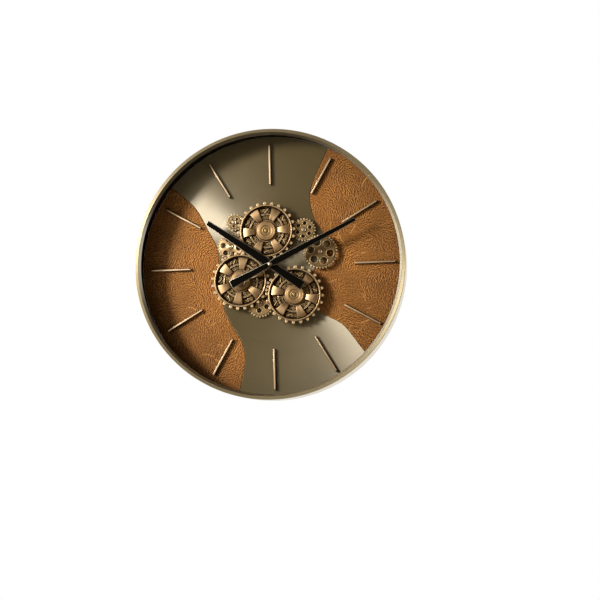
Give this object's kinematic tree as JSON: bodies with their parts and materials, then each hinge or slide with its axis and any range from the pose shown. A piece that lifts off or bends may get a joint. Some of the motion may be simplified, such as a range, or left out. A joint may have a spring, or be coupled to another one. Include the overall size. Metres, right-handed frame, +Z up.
{
  "type": "wall clock",
  "caption": "Round wall clock in a deep metal hoop: leather panels beside a brushed metal band, an open meshed gear train, baton hands and bar markers.",
  "frame": {"origin": "centre of the back panel on the wall plane", "axes": "+Z up, the dial faces -Y, +Y points into the wall"},
  "size_m": [0.6, 0.088, 0.6],
  "materials": {
    "champagne_metal": "satin champagne metal hoop",
    "brushed_dial": "bronze-toned metal with circular brushing",
    "tan_leather": "wrinkled tan leather",
    "pale_brass": "satin pale brass",
    "antique_bronze": "antique bronze with bright edges",
    "dark_bronze": "dark antique bronze",
    "black_paint": "black painted aluminium",
    "black_plastic": "black moulded plastic",
    "fibreboard": "dark brown fibreboard",
    "zinc_steel": "zinc plated steel",
    "cell_sleeve": "plain battery sleeve"
  },
  "bodies": {
    "clock_body": {"case_hoop": "champagne_metal", "front_bezel": "champagne_metal", "spacer_ring": "fibreboard", "back_panel": "fibreboard", "dial_board": "fibreboard", "hanger_plate": "zinc_steel", "brushed_dial_sheet": "brushed_dial", "leather_panel_left": "tan_leather", "leather_panel_right": "tan_leather", "hour_marker_1": "pale_brass", "hour_marker_2": "pale_brass", "hour_marker_3": "pale_brass", "hour_marker_4": "pale_brass", "hour_marker_5": "pale_brass", "hour_marker_6": "pale_brass", "hour_marker_7": "pale_brass", "hour_marker_8": "pale_brass", "hour_marker_9": "pale_brass", "hour_marker_10": "pale_brass", "hour_marker_11": "pale_brass", "hour_marker_12": "pale_brass", "movement_case": "black_plastic", "gear_motor_case": "black_plastic", "movement_cell": "cell_sleeve", "gear_motor_cell": "cell_sleeve", "mounting_bushing": "pale_brass", "mounting_nut": "pale_brass", "top_axle": "zinc_steel", "right_axle": "zinc_steel", "upper_left_gear_stud": "pale_brass", "upper_right_gear_stud": "pale_brass", "middle_left_gear_stud": "pale_brass", "holed_gear_stud": "pale_brass", "bottom_gear_stud": "pale_brass"},
    "minute_hand": {"minute_hand": "black_paint", "hand_nut": "pale_brass", "minute_arbor": "pale_brass"},
    "hour_hand": {"hour_hand": "black_paint", "hour_pipe": "pale_brass"},
    "setting_knob": {"setting_knob": "black_plastic"},
    "top_wheel": {"top_wheel": "antique_bronze", "top_hub_cap": "pale_brass", "top_drive_wheel": "dark_bronze"},
    "left_wheel": {"left_wheel": "antique_bronze", "left_hub_cap": "pale_brass", "left_axle": "zinc_steel", "left_spacer": "dark_bronze"},
    "right_wheel": {"right_wheel": "antique_bronze", "right_hub_cap": "pale_brass", "right_drive_wheel": "dark_bronze"},
    "upper_left_gear": {"upper_left_gear": "antique_bronze"},
    "upper_right_gear": {"upper_right_gear": "antique_bronze"},
    "middle_left_gear": {"middle_left_gear": "antique_bronze"},
    "holed_gear": {"holed_gear": "antique_bronze"},
    "bottom_gear": {"bottom_gear": "antique_bronze"}
  },
  "joints": [
    {"name": "minute_hand_turn", "type": "hinge", "parent": "clock_body", "child": "minute_hand", "pos_m": [0, -0.0656, 0], "axis": [0, 1, 0], "continuous": true},
    {"name": "hour_hand_turn", "type": "hinge", "parent": "clock_body", "child": "hour_hand", "pos_m": [0, -0.0596, 0], "axis": [0, 1, 0], "continuous": true},
    {"name": "setting_knob_turn", "type": "hinge", "parent": "clock_body", "child": "setting_knob", "pos_m": [0.014, -0.0029, 0.014], "axis": [0, 1, 0], "continuous": true},
    {"name": "top_wheel_turn", "type": "hinge", "parent": "clock_body", "child": "top_wheel", "pos_m": [-0.0096, -0.0426, 0.07841], "axis": [0, 1, 0], "continuous": true},
    {"name": "left_wheel_turn", "type": "hinge", "parent": "clock_body", "child": "left_wheel", "pos_m": [-0.0703, -0.0426, -0.032], "axis": [0, 1, 0], "continuous": true},
    {"name": "right_wheel_turn", "type": "hinge", "parent": "clock_body", "child": "right_wheel", "pos_m": [0.05064, -0.0426, -0.06736], "axis": [0, 1, 0], "continuous": true},
    {"name": "upper_left_gear_turn", "type": "hinge", "parent": "clock_body", "child": "upper_left_gear", "pos_m": [-0.08287, -0.033, 0.10208], "axis": [0, 1, 0], "continuous": true},
    {"name": "upper_right_gear_turn", "type": "hinge", "parent": "clock_body", "child": "upper_right_gear", "pos_m": [0.074, -0.033, 0.07871], "axis": [0, 1, 0], "continuous": true},
    {"name": "middle_left_gear_turn", "type": "hinge", "parent": "clock_body", "child": "middle_left_gear", "pos_m": [-0.09181, -0.033, 0.04702], "axis": [0, 1, 0], "continuous": true},
    {"name": "holed_gear_turn", "type": "hinge", "parent": "clock_body", "child": "holed_gear", "pos_m": [0.11014, -0.033, 0.02747], "axis": [0, 1, 0], "continuous": true},
    {"name": "bottom_gear_turn", "type": "hinge", "parent": "clock_body", "child": "bottom_gear", "pos_m": [-0.02797, -0.033, -0.08379], "axis": [0, 1, 0], "continuous": true}
  ],
  "couplings": [
    {"joint": "hour_hand_turn", "follows": "minute_hand_turn", "ratio": 0.083333},
    {"joint": "setting_knob_turn", "follows": "minute_hand_turn", "ratio": -0.33333},
    {"joint": "left_wheel_turn", "follows": "top_wheel_turn", "ratio": -1},
    {"joint": "right_wheel_turn", "follows": "top_wheel_turn", "ratio": 1},
    {"joint": "upper_left_gear_turn", "follows": "top_wheel_turn", "ratio": -3.1176},
    {"joint": "upper_right_gear_turn", "follows": "top_wheel_turn", "ratio": -2.3043},
    {"joint": "middle_left_gear_turn", "follows": "top_wheel_turn", "ratio": -1.963},
    {"joint": "holed_gear_turn", "follows": "top_wheel_turn", "ratio": 1.5588},
    {"joint": "bottom_gear_turn", "follows": "top_wheel_turn", "ratio": -1.7037}
  ]
}
